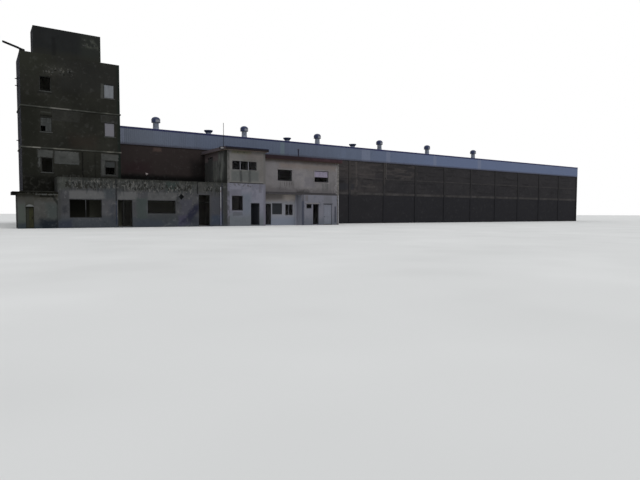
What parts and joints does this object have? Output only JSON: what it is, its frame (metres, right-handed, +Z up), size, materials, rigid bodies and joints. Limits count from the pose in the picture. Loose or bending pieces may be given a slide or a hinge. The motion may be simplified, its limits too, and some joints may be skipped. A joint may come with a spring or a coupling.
{
  "type": "1:10 scale model of a factory building",
  "caption": "Factory at 1:10: tower with penthouse, low annexe and wing, two-part office block and a long hall with ridge ventilators; two hinged doors.",
  "frame": {"origin": "centre of the whole building's outline, on the ground the walls stand on", "axes": "+X along the front to the right, the building's length; +Y into the building from the front; +Z up"},
  "size_m": [11.359, 3.514, 2.115],
  "materials": {
    "tower_front_wall": "weathered dark plaster",
    "tower_back_wall": "weathered dark plaster",
    "tower_side_walls": "weathered dark plaster",
    "tower_floors": "bare concrete",
    "tower_string_courses": "weathered plaster",
    "penthouse_walls": "weathered blue-grey plaster",
    "penthouse_roof": "weathered concrete",
    "tower_window_frames": "weathered plaster surround",
    "tower_shutters": "dull white paint",
    "hoist_beam": "dark weathered steel",
    "wall_brackets": "dark weathered steel",
    "annexe_front_wall": "stained pale plaster",
    "annexe_left_wall": "stained pale plaster",
    "annexe_roof": "stained concrete",
    "annexe_canopy": "pale plaster",
    "annexe_door_frame": "dark paint",
    "annexe_door": "olive paint",
    "wing_wall": "grey plaster with dark streaks",
    "wing_roof": "weathered concrete",
    "wing_window_frames": "worn white paint",
    "office_left_front_wall": "pale grey plaster",
    "office_side_walls": "pale grey plaster",
    "office_left_roof": "dark purple-brown paint",
    "office_floors": "bare concrete",
    "office_upper_wall": "pale grey plaster",
    "office_recessed_wall": "bluish white plaster",
    "office_ground_wall": "white plaster",
    "walls_over_doors": "pale plaster",
    "office_right_roof": "reddish-brown paint",
    "office_window_frames": "white paint",
    "office_shutters": "dull white paint",
    "office_door_frame": "white paint",
    "office_door": "white paint",
    "roof_mast": "dull grey paint",
    "vent_pipe": "galvanised sheet",
    "downpipes": "white",
    "hall_front_wall": "dark brown rendered masonry",
    "hall_back_wall": "dark brown rendered masonry",
    "hall_end_walls": "dark brown rendered masonry",
    "hall_roof": "weathered corrugated sheet",
    "hall_cladding": "blue-grey ribbed sheet",
    "hall_piers": "rendered masonry",
    "hall_wall_beams": "bare concrete",
    "ridge_ventilators": "galvanised sheet",
    "ground_floors": "bare concrete"
  },
  "bodies": {
    "building": {"tower_front_wall": "tower_front_wall", "tower_back_wall": "tower_back_wall", "tower_side_walls": "tower_side_walls", "tower_floors": "tower_floors", "tower_string_courses": "tower_string_courses", "penthouse_walls": "penthouse_walls", "penthouse_roof": "penthouse_roof", "tower_window_frames": "tower_window_frames", "tower_shutters": "tower_shutters", "hoist_beam": "hoist_beam", "wall_brackets": "wall_brackets", "annexe_front_wall": "annexe_front_wall", "annexe_left_wall": "annexe_left_wall", "annexe_roof": "annexe_roof", "annexe_canopy": "annexe_canopy", "annexe_door_frame": "annexe_door_frame", "wing_wall": "wing_wall", "wing_roof": "wing_roof", "wing_window_frames": "wing_window_frames", "office_left_front_wall": "office_left_front_wall", "office_side_walls": "office_side_walls", "office_left_roof": "office_left_roof", "office_floors": "office_floors", "office_upper_wall": "office_upper_wall", "office_recessed_wall": "office_recessed_wall", "office_ground_wall": "office_ground_wall", "walls_over_doors": "walls_over_doors", "office_right_roof": "office_right_roof", "office_window_frames": "office_window_frames", "office_shutters": "office_shutters", "office_door_frame": "office_door_frame", "roof_mast": "roof_mast", "vent_pipe": "vent_pipe", "downpipes": "downpipes", "hall_front_wall": "hall_front_wall", "hall_back_wall": "hall_back_wall", "hall_end_walls": "hall_end_walls", "hall_roof": "hall_roof", "hall_cladding": "hall_cladding", "hall_piers": "hall_piers", "hall_wall_beams": "hall_wall_beams", "ridge_ventilators": "ridge_ventilators", "ground_floors": "ground_floors"},
    "annexe_door": {"annexe_door": "annexe_door"},
    "office_door": {"office_door": "office_door"}
  },
  "joints": [
    {"name": "annexe_door_hinge", "type": "hinge", "parent": "building", "child": "annexe_door", "pos_m": [-5.524, -1.6974, 0.11], "axis": [0, 0, 1], "range_deg": [0, 90]},
    {"name": "office_door_hinge", "type": "hinge", "parent": "building", "child": "office_door", "pos_m": [-1.749, -1.6674, 0.14], "axis": [0, 0, -1], "range_deg": [0, 90]}
  ]
}
